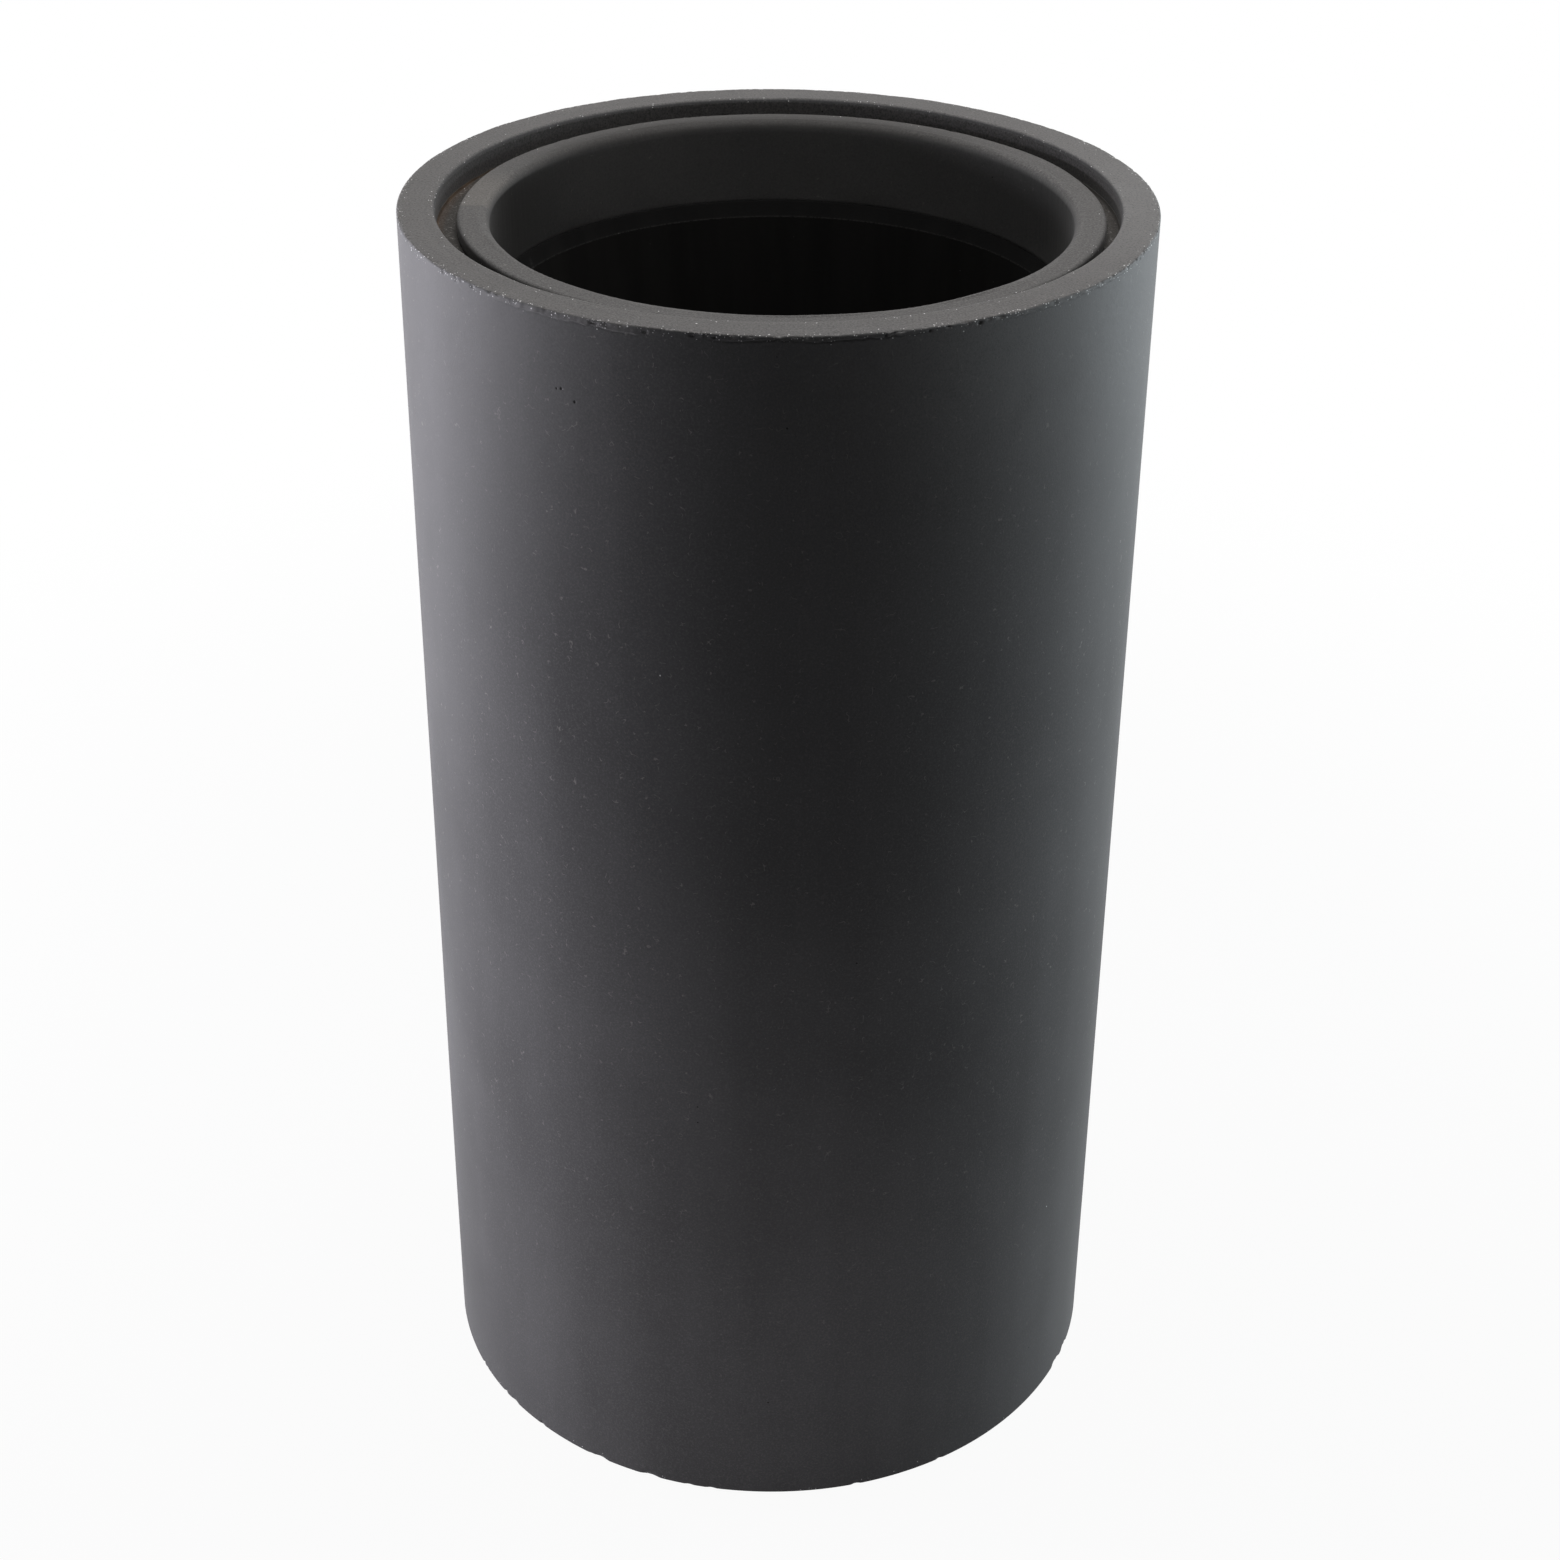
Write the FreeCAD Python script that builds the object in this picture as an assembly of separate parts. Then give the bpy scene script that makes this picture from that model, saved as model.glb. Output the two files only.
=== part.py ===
import FreeCAD, Part
import math
import os

# Tall round planter of dark fibre cement with a planting insert that lifts out.
# Millimetres, Z up. The origin is the middle of the footprint, on the floor. X points to the
# right and Y to the back, as seen by someone who stands in front of the planter.

# Outer shell: one straight round wall with its floor
shell_diameter = 382.0
shell_height = 697.0
shell_wall = 19.0
shell_floor = 20.0
rim_inner_round = 4.0
rim_outer_round = 2.0
base_edge_round = 4.0
floor_corner_round = 12.0

# Foot pads under the shell
pad_count = 4
pad_diameter = 40.0
pad_thickness = 3.0
pad_edge_round = 0.8
pad_edge_inset = 18.0

# Ledge ring bonded into the shell's mouth, and the bead of resin in its corner
ledge_wall_height = 34.0
ledge_nose_height = 12.0
ledge_nose_round = 1.5
bond_film = 0.2
bead_leg = 3.0

# Insert collar: the lip that rests on the ledge and the short wall below it
lip_drop = 5.5
lip_thickness = 7.5
lip_gap = 9.0
lip_seat = 5.5
lip_inner_round = 6.0
lip_outer_round = 2.0
collar_wall = 8.0
collar_skirt = 37.3
insert_play = 2.5
insert_side_gap = 0.7

# Insert tub, bonded under the collar
tub_height = 230.0
tub_wall = 3.0
tub_floor = 4.0
tub_taper = 18.0
tub_shoulder_step = 3.5
tub_shoulder_height = 8.0
tub_corner_round = 8.0
tub_foot_height = 8.0
tub_foot_width = 6.0
tub_foot_inset = 18.0
tub_boss_wall = 6.0
tub_boss_drop = 5.0

# Drain holes and the rubber plugs that close them
drain_hole_diameter = 24.0
plug_clearance = 0.3
plug_taper = 1.0
plug_length = 9.0
plug_flange_overlap = 6.0
plug_flange_thickness = 4.0
plug_flange_round = 1.2
plug_neck_diameter = 9.0
plug_neck_height = 7.0
plug_knob_diameter = 16.0
plug_knob_height = 6.0
plug_knob_round = 2.5

# Heights above the floor
base_height = pad_thickness
shell_floor_height = base_height + shell_floor
rim_height = base_height + shell_height
lip_height = rim_height - lip_drop
ledge_height = lip_height - lip_thickness
collar_end_height = ledge_height - collar_skirt
tub_floor_height = collar_end_height - tub_height
tub_underside_height = tub_floor_height - tub_floor
tub_foot_end_height = tub_underside_height - tub_foot_height

# Radii, worked out from the shell inwards
shell_radius = shell_diameter / 2
bore_radius = shell_radius - shell_wall
lip_radius = bore_radius - lip_gap
ledge_bore_radius = lip_radius - lip_seat
collar_radius = ledge_bore_radius - insert_play
mouth_radius = collar_radius - collar_wall
tub_top_radius = mouth_radius - tub_shoulder_step
tub_floor_radius = tub_top_radius - tub_taper
drain_radius = drain_hole_diameter / 2

# The insert lies against one side of its play, so its axis is a little right of the shell's.
insert_shift = insert_play - insert_side_gap


def section_point(corner):
    """A corner (radius, height, ...) as a point in the section plane."""
    return FreeCAD.Vector(corner[0], 0, corner[1])


def section_edges(corners):
    """Edges of a closed section: straight between corners (radius, height), with a tangent arc
    at each corner that has a rounding as its third number."""
    arrivals = []
    departures = []
    arcs = []
    for index, corner in enumerate(corners):
        here = section_point(corner)
        arrival = here
        departure = here
        if len(corner) > 2:
            rounding = corner[2]
            back = (section_point(corners[index - 1]) - here).normalize()
            ahead = (section_point(corners[(index + 1) % len(corners)]) - here).normalize()
            half_angle = back.getAngle(ahead) / 2
            arrival = here + back * (rounding / math.tan(half_angle))
            departure = here + ahead * (rounding / math.tan(half_angle))
            inward = (back + ahead).normalize()
            crown = here + inward * (rounding / math.sin(half_angle) - rounding)
            arcs.append(Part.Arc(arrival, crown, departure).toShape())
        arrivals.append(arrival)
        departures.append(departure)
    lines = []
    for index, departure in enumerate(departures):
        arrival = arrivals[(index + 1) % len(corners)]
        lines.append(Part.LineSegment(departure, arrival).toShape())
    return lines + arcs


def turned(corners, centre=(0.0, 0.0)):
    """Solid made by turning a section once round a vertical axis at centre (x, y)."""
    outline = Part.Wire(Part.__sortEdges__(section_edges(corners)))
    solid = Part.Face(outline).revolve(FreeCAD.Vector(0, 0, 0), FreeCAD.Vector(0, 0, 1), 360)
    solid.translate(FreeCAD.Vector(centre[0], centre[1], 0))
    return solid


def outer_shell():
    """Straight wall with a flat rim, a floor and one drain hole in the middle of it."""
    return turned([
        (drain_radius, base_height),
        (shell_radius, base_height, base_edge_round),
        (shell_radius, rim_height, rim_outer_round),
        (bore_radius, rim_height, rim_inner_round),
        (bore_radius, shell_floor_height, floor_corner_round),
        (drain_radius, shell_floor_height),
    ])


def foot_pad(number):
    """One of the round pads stuck under the shell, evenly spaced and clear of its edge."""
    pad_radius = pad_diameter / 2
    circle_radius = shell_radius - pad_edge_inset - pad_radius
    angle = 2 * math.pi * (number - 0.5) / pad_count
    centre = (circle_radius * math.cos(angle), circle_radius * math.sin(angle))
    return turned([
        (0, 0),
        (pad_radius, 0, pad_edge_round),
        (pad_radius, base_height),
        (0, base_height),
    ], centre)


def support_ring():
    """Ledge with a flat top, a short nose and an underside that slopes back to the wall."""
    ring_radius = bore_radius - bond_film
    return turned([
        (ring_radius, ledge_height),
        (ledge_bore_radius, ledge_height, ledge_nose_round),
        (ledge_bore_radius, ledge_height - ledge_nose_height),
        (ring_radius, ledge_height - ledge_wall_height),
    ])


def resin_bead():
    """Fillet of resin, wiped flat into the corner between the ledge and the shell's wall."""
    wall_radius = bore_radius - bond_film
    return turned([
        (wall_radius - bead_leg, ledge_height),
        (wall_radius, ledge_height),
        (wall_radius, ledge_height + bead_leg),
    ])


def insert_collar():
    """Wide soft lip that rests on the ledge, with a short straight wall hanging inside the ring."""
    return turned([
        (mouth_radius, collar_end_height),
        (mouth_radius, lip_height, lip_inner_round),
        (lip_radius, lip_height, lip_outer_round),
        (lip_radius, ledge_height),
        (collar_radius, ledge_height),
        (collar_radius, collar_end_height),
    ], (insert_shift, 0.0))


def insert_tub():
    """Tapered tub: a flange under the collar, a sloping shoulder, a floor with a drain boss and
    a ring to stand on when the insert is out of the shell."""
    flange_underside_height = collar_end_height - tub_wall
    shoulder_end_height = collar_end_height - tub_shoulder_height
    foot_radius = tub_floor_radius - tub_foot_inset
    foot_inner_radius = foot_radius - tub_foot_width
    boss_radius = drain_radius + tub_boss_wall
    boss_end_height = tub_underside_height - tub_boss_drop
    return turned([
        (drain_radius, tub_floor_height),
        (tub_floor_radius, tub_floor_height, tub_corner_round),
        (tub_top_radius, shoulder_end_height),
        (mouth_radius, collar_end_height),
        (collar_radius, collar_end_height),
        (collar_radius, flange_underside_height),
        (mouth_radius + tub_wall, flange_underside_height),
        (tub_top_radius + tub_wall, shoulder_end_height),
        (tub_floor_radius + tub_wall, tub_underside_height, tub_corner_round + tub_wall),
        (foot_radius, tub_underside_height),
        (foot_radius, tub_foot_end_height),
        (foot_inner_radius, tub_foot_end_height),
        (foot_inner_radius, tub_underside_height),
        (boss_radius, tub_underside_height),
        (boss_radius, boss_end_height),
        (drain_radius, boss_end_height),
    ], (insert_shift, 0.0))


def drain_plug(seat_height, centre):
    """Rubber bung with a tapered body, a flange that seals on the floor and a knob to pull."""
    body_radius = drain_radius - plug_clearance
    flange_radius = drain_radius + plug_flange_overlap
    neck_radius = plug_neck_diameter / 2
    knob_radius = plug_knob_diameter / 2
    flange_top = seat_height + plug_flange_thickness
    neck_top = flange_top + plug_neck_height
    knob_top = neck_top + plug_knob_height
    return turned([
        (0, seat_height - plug_length),
        (body_radius - plug_taper, seat_height - plug_length),
        (body_radius, seat_height),
        (flange_radius, seat_height),
        (flange_radius, flange_top, plug_flange_round),
        (neck_radius, flange_top),
        (neck_radius, neck_top),
        (knob_radius, neck_top),
        (knob_radius, knob_top, plug_knob_round),
        (0, knob_top),
    ], centre)


def all_pieces():
    """Every piece of the planter by its name."""
    pieces = {
        "outer_shell": outer_shell(),
        "support_ring": support_ring(),
        "resin_bead": resin_bead(),
        "insert_collar": insert_collar(),
        "insert_tub": insert_tub(),
        "tub_drain_plug": drain_plug(tub_floor_height, (insert_shift, 0.0)),
        "shell_drain_plug": drain_plug(shell_floor_height, (0.0, 0.0)),
    }
    for number in range(1, pad_count + 1):
        pieces["foot_pad_%d" % number] = foot_pad(number)
    return pieces


os.makedirs("parts", exist_ok=True)
for name, solid in all_pieces().items():
    solid.exportStep("parts/%s.step" % name)
    print("%-18s %9.1f cm3  valid %s" % (name, solid.Volume / 1000, solid.isValid()))
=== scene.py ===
# %% [markdown]
# # A tall round planter of dark fibre cement
# The planter is a straight cylinder of hand-laid fibre cement, through-coloured a dark grey. A ledge
# is bonded into its mouth, and a planting insert with a soft lip rests on that ledge and lifts out.
# The frame gives every size and every moving body, so each piece below is measured from it, made
# again as a surface with the marks that the maker's hand left, and set to ride on its body.

import bmesh
import bpy
import math
import numpy as np
from collections import namedtuple
from mathutils import Matrix, Vector


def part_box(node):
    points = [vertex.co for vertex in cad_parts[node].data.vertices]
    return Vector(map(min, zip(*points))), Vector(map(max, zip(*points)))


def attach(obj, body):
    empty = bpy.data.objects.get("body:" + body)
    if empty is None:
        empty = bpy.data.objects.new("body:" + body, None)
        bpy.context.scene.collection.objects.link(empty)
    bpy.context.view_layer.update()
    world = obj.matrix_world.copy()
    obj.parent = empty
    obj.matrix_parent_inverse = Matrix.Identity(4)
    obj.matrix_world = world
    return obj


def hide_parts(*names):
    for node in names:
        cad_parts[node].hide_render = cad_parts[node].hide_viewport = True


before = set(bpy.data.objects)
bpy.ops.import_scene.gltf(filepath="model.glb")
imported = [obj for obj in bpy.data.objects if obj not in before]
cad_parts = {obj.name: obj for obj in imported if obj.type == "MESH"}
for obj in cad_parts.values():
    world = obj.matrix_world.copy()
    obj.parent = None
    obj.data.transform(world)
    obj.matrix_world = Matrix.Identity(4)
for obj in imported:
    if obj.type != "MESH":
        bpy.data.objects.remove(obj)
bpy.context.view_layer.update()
scene = bpy.context.scene

# %% [markdown]
# ## Reading sizes off the frame
# A node of the frame is a mesh whose corners lie on the true surface. Nearly everything here is round,
# so the useful numbers are each corner's distance from the piece's own axis and its height. Reading
# them keeps this scene right when the planter is made in another size.

# %% Measure the round nodes
Round = namedtuple("Round", "axis radius height")


def measured(node):
    """Axis (x, y) of a round node, and the distance from that axis and the height of its corners."""
    low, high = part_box(node)
    axis = (np.array(low[:2]) + np.array(high[:2])) / 2
    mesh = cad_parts[node].data
    places = np.empty(3 * len(mesh.vertices))
    mesh.vertices.foreach_get("co", places)
    places = places.reshape(-1, 3)
    across = places[:, :2] - axis
    return Round(axis, np.hypot(across[:, 0], across[:, 1]), places[:, 2])


touch = 2e-5
shell = measured("outer_shell")
ledge = measured("support_ring")
collar = measured("insert_collar")
tub = measured("insert_tub")

shell_radius = shell.radius.max()
rim_height = shell.height.max()
base_height = shell.height.min()
bore_radius = shell.radius[shell.height > rim_height / 2].min()
drain_radius = shell.radius.min()
floor_height = shell.height[shell.radius < drain_radius + touch].max()
on_wall = shell.height[shell.radius > shell_radius - touch]
on_bore = shell.height[abs(shell.radius - bore_radius) < touch]
rim_outer_round = rim_height - on_wall.max()
rim_inner_round = rim_height - on_bore.max()
base_round = on_wall.min() - base_height
floor_round = on_bore.min() - floor_height
ledge_height = ledge.height.max()
ledge_end = ledge.height.min()
print("shell: radius %.4f, bore %.4f, rim at %.4f m" % (shell_radius, bore_radius, rim_height))

# %% [markdown]
# ## The camera
# The photograph looks down on the mouth from about chest height, with a medium long lens. Rim, sides
# and base together fix the camera: its distance, its height over the rim, the tilt down, and a slight
# turn and roll of the hand-held picture. A camera in Blender looks along its own -Z with +Y up, so it
# is tipped up from looking at the floor, turned about Z, and rolled about its own axis first.

# %% Make the camera
photo_side = 1560
focal_pixels = 2772.4
camera_distance = 1.352
camera_above_rim = 0.4477
look_down = math.radians(30.181)
look_right = math.radians(0.154)
camera_roll = math.radians(0.584)

lens = bpy.data.cameras.new("photo_camera")
lens.sensor_width = 36.0
lens.lens = focal_pixels / photo_side * lens.sensor_width
camera = bpy.data.objects.new("photo_camera", lens)
scene.collection.objects.link(camera)
tipped = Matrix.Rotation(math.pi / 2 - look_down, 4, "X") @ Matrix.Rotation(camera_roll, 4, "Z")
turned_right = Matrix.Rotation(-look_right, 4, "Z")
stand = Matrix.Translation((0.0, -camera_distance, rim_height + camera_above_rim))
camera.matrix_world = stand @ turned_right @ tipped
bpy.context.scene.camera = camera
print("camera: %.1f mm lens" % lens.lens)

# %% [markdown]
# ## Small tools for shader nodes
# A material is a tree of nodes. These helpers only shorten the writing: they add a node with its
# inputs filled or linked, do sums, fade between two levels, read a noise and lay a colour over another
# by a mask. The last two begin and end the tree of a material.

# %% Node helpers
def put(tree, kind, inputs=None, **options):
    """Adds a shader node. inputs holds values or sockets under an input's name or number."""
    made = tree.nodes.new("ShaderNode" + kind)
    for option, value in options.items():
        setattr(made, option, value)
    for key, value in (inputs or {}).items():
        if isinstance(value, bpy.types.NodeSocket):
            tree.links.new(value, made.inputs[key])
        else:
            made.inputs[key].default_value = value
    return made


def maths(tree, operation, first, second=0.0):
    """The result of one sum on two values or sockets."""
    return put(tree, "Math", {0: first, 1: second}, operation=operation).outputs[0]


def times(tree, first, second):
    """The product of two values or sockets."""
    return maths(tree, "MULTIPLY", first, second)


def scaled(tree, value, factor, start):
    """start plus factor times value."""
    return maths(tree, "ADD", times(tree, value, factor), start)


def fade(tree, value, low, high):
    """0 at low and 1 at high, with a smooth step between."""
    ends = {"Value": value, "From Min": low, "From Max": high}
    return put(tree, "MapRange", ends, interpolation_type="SMOOTHSTEP").outputs["Result"]


def noise(tree, place, scale, detail, roughness=0.5):
    """A soft noise, read at a place. Most of its values lie in noise_range."""
    field = {"Vector": place, "Scale": scale, "Detail": detail, "Roughness": roughness}
    return put(tree, "TexNoise", field).outputs["Fac"]


def lay_over(tree, mask, under, over, share=1.0):
    """The colour over on top of the colour under, by a share of a mask from 0 to 1."""
    if share < 1:
        mask = times(tree, mask, share)
    return put(tree, "Mix", {0: mask, 6: under, 7: over}, data_type="RGBA").outputs[2]


def grey(value, warmth=0.0, violet=0.0):
    """A grey of linear brightness value, made warmer or, below 0, cooler by the share warmth, and
    less green by the share violet."""
    return (value * (1 + warmth), value * (1 - violet), value * (1 - warmth), 1.0)


def own_value(tree, label):
    """The value that the points of a piece carry under a label."""
    return put(tree, "Attribute", attribute_name=label).outputs["Fac"]


def new_material(name):
    """An empty material, its tree and the socket of the place on the piece."""
    material = bpy.data.materials.new(name)
    material.use_nodes = True
    tree = material.node_tree
    tree.nodes.clear()
    print("finish:", name)
    return material, tree, put(tree, "TexCoord").outputs["Object"]


def end_with_surface(tree, height, strength, depth, looks):
    """Ends a tree with a surface of the given looks, with a bump that is depth high."""
    bump = put(tree, "Bump", {"Height": height, "Strength": strength, "Distance": depth})
    body = put(tree, "BsdfPrincipled", {"Normal": bump.outputs[0], **looks})
    put(tree, "OutputMaterial", {"Surface": body.outputs[0]})


noise_range = (0.3, 0.7)
white = grey(1.0)

# %% [markdown]
# ## The studio
# The planter stands in a white room: light comes from both sides and from above and behind, and the
# side where the camera stands is dark. That makes the straight wall bright at both flanks and nearly
# black in the middle. The room itself shows white: what the camera and reflections see of world and
# floor has a strength of 1, while the light that they give the object is plain and lower.

# %% World
scene.view_settings.view_transform = "Standard"
room_light = 0.035


def seen_ray(tree):
    """1 for rays from the camera, from a mirror-like bounce or through glass, and 0 for others."""
    path = put(tree, "LightPath").outputs
    mirrored = maths(tree, "MAXIMUM", path["Is Glossy Ray"], path["Is Transmission Ray"])
    return maths(tree, "MAXIMUM", path["Is Camera Ray"], mirrored)


world = bpy.data.worlds.new("white_room")
world.use_nodes = True
tree = world.node_tree
tree.nodes.clear()
scene.world = world
given_light = put(tree, "Background", {"Color": white, "Strength": room_light})
shown_white = put(tree, "Background", {"Color": white, "Strength": 1.0})
room = put(tree, "MixShader", {0: seen_ray(tree), 1: given_light.outputs[0], 2: shown_white.outputs[0]})
put(tree, "OutputWorld", {"Surface": room.outputs[0]})
print("world: white to look at, %.3f as light" % room_light)

# %% [markdown]
# The floor is a pale sheet. Most of what is seen of it is its own even white, and the rest is lit by the
# lamps, so that the planter's shadow stays on it. Away from the planter the white takes over, and the
# sheet melts into the room without an edge.

# %% Floor
floor_reach = 6.0
floor_tone = grey(0.25)
floor_shine = 0.95
shadow_reach = 0.5
white_from = 1.4

sheet = bpy.data.meshes.new("floor")
quarters = ((-1, -1), (1, -1), (1, 1), (-1, 1))
corners = [(floor_reach * side, floor_reach * depth, 0) for side, depth in quarters]
sheet.from_pydata(corners, [], [(0, 1, 2, 3)])
floor = bpy.data.objects.new("floor", sheet)
scene.collection.objects.link(floor)

floor_finish, tree, place = new_material("pale_floor")
lit = put(tree, "BsdfDiffuse", {"Color": floor_tone})
even = put(tree, "Emission", {"Color": white, "Strength": 1.0})
away = put(tree, "VectorMath", {0: place}, operation="LENGTH").outputs["Value"]
melted = fade(tree, away, shadow_reach, white_from)
share = times(tree, seen_ray(tree), scaled(tree, melted, 1 - floor_shine, floor_shine))
surface = put(tree, "MixShader", {0: share, 1: lit.outputs[0], 2: even.outputs[0]})
put(tree, "OutputMaterial", {"Surface": surface.outputs[0]})
sheet.materials.append(floor_finish)
print("floor: %.0f m wide" % (2 * floor_reach))

# %% [markdown]
# The lamps are large soft panels. The left one is the strongest and a little blue, the right one is
# weaker and greener, and a warm one hangs high over the planter, where it lights the flat rim. A
# weak low one in front stands for light that the floor throws back, and lifts the foot of the wall.

# %% Lamps
def soft_panel(name, place, target, size, watts, colour):
    """A rectangular lamp at place that faces target. A lamp shines along its own -Z."""
    data = bpy.data.lights.new(name, "AREA")
    data.shape = "RECTANGLE"
    data.size = size[0]
    data.size_y = size[1]
    data.energy = watts
    data.color = colour
    lamp = bpy.data.objects.new(name, data)
    aim = Vector(target) - Vector(place)
    turn_to = aim.to_track_quat("-Z", "Y").to_matrix().to_4x4()
    lamp.matrix_world = Matrix.Translation(place) @ turn_to
    scene.collection.objects.link(lamp)


soft_panel("left_panel", (-1.35, 0.27, 0.42), (0.0, 0.0, 0.42), (1.1, 0.78), 49.5, (0.94, 0.925, 1.0))
soft_panel("right_panel", (1.4, 0.54, 0.45), (0.0, 0.0, 0.45), (1.1, 0.68), 33.5, (0.87, 0.957, 1.0))
soft_panel("high_panel", (0.1, 0.27, 2.0), (0.1, 0.27, 0.0), (0.9, 1.2), 26.0, (1.0, 0.985, 0.975))
soft_panel("low_panel", (-0.2, -0.5, 0.05), (-0.1, -0.19, 0.05), (0.7, 0.08), 0.7, (1.0, 0.96, 1.0))
print("lamps: four soft panels")

# %% [markdown]
# ## Turned surfaces
# Every piece is turned: an outline in the plane of radius and height is carried round an upright
# axis. Blender's Screw modifier or a lathe would do for a perfect part. Here the outline may change
# with the turn, which is how chips, hand-worked unevenness and flash get into the real geometry.

# %% Outline of a turned piece
Outline = namedtuple("Outline", "radius height out up along")


def corner_arc(before, here, after, rounding, steps):
    """Points of the arc that touches both runs at a corner. Its ends lie rounding / tan(half angle)
    from the corner, and its points are the weighted sum of the two end spokes about its centre."""
    back = (before - here) / np.linalg.norm(before - here)
    ahead = (after - here) / np.linalg.norm(after - here)
    half = math.acos(np.clip(back @ ahead, -1, 1)) / 2
    middle = (back + ahead) / np.linalg.norm(back + ahead)
    centre = here + middle * rounding / math.sin(half)
    first = here + back * rounding / math.tan(half) - centre
    last = here + ahead * rounding / math.tan(half) - centre
    sweep = math.pi - 2 * half
    part = np.linspace(0, 1, steps + 1)[:, None] * sweep
    return centre + (np.sin(sweep - part) * first + np.sin(part) * last) / math.sin(sweep)


def outline_through(corners):
    """Outline, anticlockwise, through corners (radius, height, rounding, arc steps, run steps).
    The rows of a run follow a cosine towards each rounded end, so they crowd there and hold the
    shading of the arc. out and up are the outward normal, along is the length so far."""
    stops = np.array([corner[:2] for corner in corners], float)
    arcs = []
    for index, (_, _, rounding, steps, _) in enumerate(corners):
        if rounding > 0:
            after = stops[(index + 1) % len(stops)]
            arcs.append(corner_arc(stops[index - 1], stops[index], after, rounding, steps))
        else:
            arcs.append(stops[index:index + 1])
    rows = []
    for index, arc in enumerate(arcs):
        run_steps = corners[index][4]
        share = np.arange(1, run_steps)[:, None] / run_steps
        next_arc = arcs[(index + 1) % len(arcs)]
        round_here = len(arc) > 1
        round_next = len(next_arc) > 1
        if round_here and round_next:
            share = (1 - np.cos(np.pi * share)) / 2
        elif round_here:
            share = 1 - np.cos(np.pi * share / 2)
        elif round_next:
            share = np.sin(np.pi * share / 2)
        rows += [arc, arc[-1] + (next_arc[0] - arc[-1]) * share]
    rows = np.concatenate(rows)
    tangent = np.roll(rows, -1, axis=0) - np.roll(rows, 1, axis=0)
    tangent /= np.linalg.norm(tangent, axis=1)[:, None]
    stride = np.linalg.norm(np.diff(rows, axis=0, prepend=rows[:1]), axis=1)
    return Outline(rows[:, 0], rows[:, 1], tangent[:, 1], -tangent[:, 0], np.cumsum(stride))


# %% Mesh of a turned piece
def turns(steps):
    """Angles of the steps round the axis, as a column."""
    return 2 * np.pi * np.arange(steps)[:, None] / steps


def turned(name, turn, radius, height, axis, finish, values, poles=False):
    """A piece whose two parameters are the turn and the row of its outline. A point is the axis
    plus radius times (cos turn, sin turn), at its height; both are rows, or grids of turn by row.
    Rows close on themselves, or with poles run from axis to axis. values become point attributes."""
    grid = np.broadcast(turn, radius, height).shape
    across = axis[0] + radius * np.cos(turn)
    deep = axis[1] + radius * np.sin(turn)
    places = np.stack([across, deep, np.broadcast_to(height, grid)], axis=2).reshape(-1, 3)
    here = np.arange(len(places)).reshape(grid)
    beside = np.roll(here, -1, axis=0)
    quads = np.stack([here, beside, np.roll(beside, -1, axis=1), np.roll(here, -1, axis=1)], axis=2)
    if poles:
        quads = quads[:, :-1]
    mesh = bpy.data.meshes.new(name)
    mesh.from_pydata(places.tolist(), [], quads.reshape(-1, 4).tolist())
    for label, value in values.items():
        data = mesh.attributes.new(label, "FLOAT", "POINT")
        data.data.foreach_set("value", np.broadcast_to(value, grid).astype(np.float32).ravel())
    if poles:
        shape = bmesh.new()
        shape.from_mesh(mesh)
        bmesh.ops.remove_doubles(shape, verts=shape.verts, dist=touch / 10)
        shape.to_mesh(mesh)
        shape.free()
    mesh.shade_smooth()
    mesh.materials.append(finish)
    piece = bpy.data.objects.new(name, mesh)
    scene.collection.objects.link(piece)
    print("%s: %d faces" % (name, len(mesh.polygons)))
    return piece


def carved(name, turn, line, relief, axis, finish, values):
    """A turned piece whose outline is moved along its normal by a relief, a grid of turn by row."""
    radius = line.radius + line.out * relief
    height = line.height + line.up * relief
    return turned(name, turn, radius, height, axis, finish, values)


# %% [markdown]
# ## Relief
# Two kinds of unevenness are worked out on the grid of turn and row. A rolling relief is a sum of
# cosine waves that fit a whole number of times round the piece, so it has no seam. Dents are small
# bowls along an edge, scattered or placed. Whatever is random comes from a seeded generator, so each
# run gives the same planter.

# %% Relief helpers
def rolling(turn, per_turn, seed, along=0.0, per_metre=0.0):
    """Smooth random relief of about -1 to 1: cosine waves with a whole number of waves per turn, a
    number of waves per metre along the outline and a phase, all drawn at random, added up."""
    waves = 36
    draw = np.random.default_rng(seed)
    counts = draw.integers(-per_turn, per_turn + 1, waves)
    pitches = 2 * np.pi * draw.uniform(-per_metre, per_metre, waves)
    phases = draw.uniform(0, 2 * np.pi, waves)
    total = 0.0
    for count, pitch, phase in zip(counts, pitches, phases):
        total = total + np.cos(count * turn + pitch * along + phase)
    return total / math.sqrt(2 * waves)


def bowl(turn, along, at_turn, at_along, radius, size, longer=1.0):
    """One dent, 1 deep at its middle: (1 - (distance / size) squared) squared inside its size. The
    distance round the piece is divided by longer, which draws the dent out along an edge."""
    round_way = ((turn - at_turn + np.pi) % (2 * np.pi) - np.pi) * radius / longer
    nearness = 1 - (round_way ** 2 + (along - at_along) ** 2) / size ** 2
    return np.clip(nearness, 0, 1) ** 2


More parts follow.
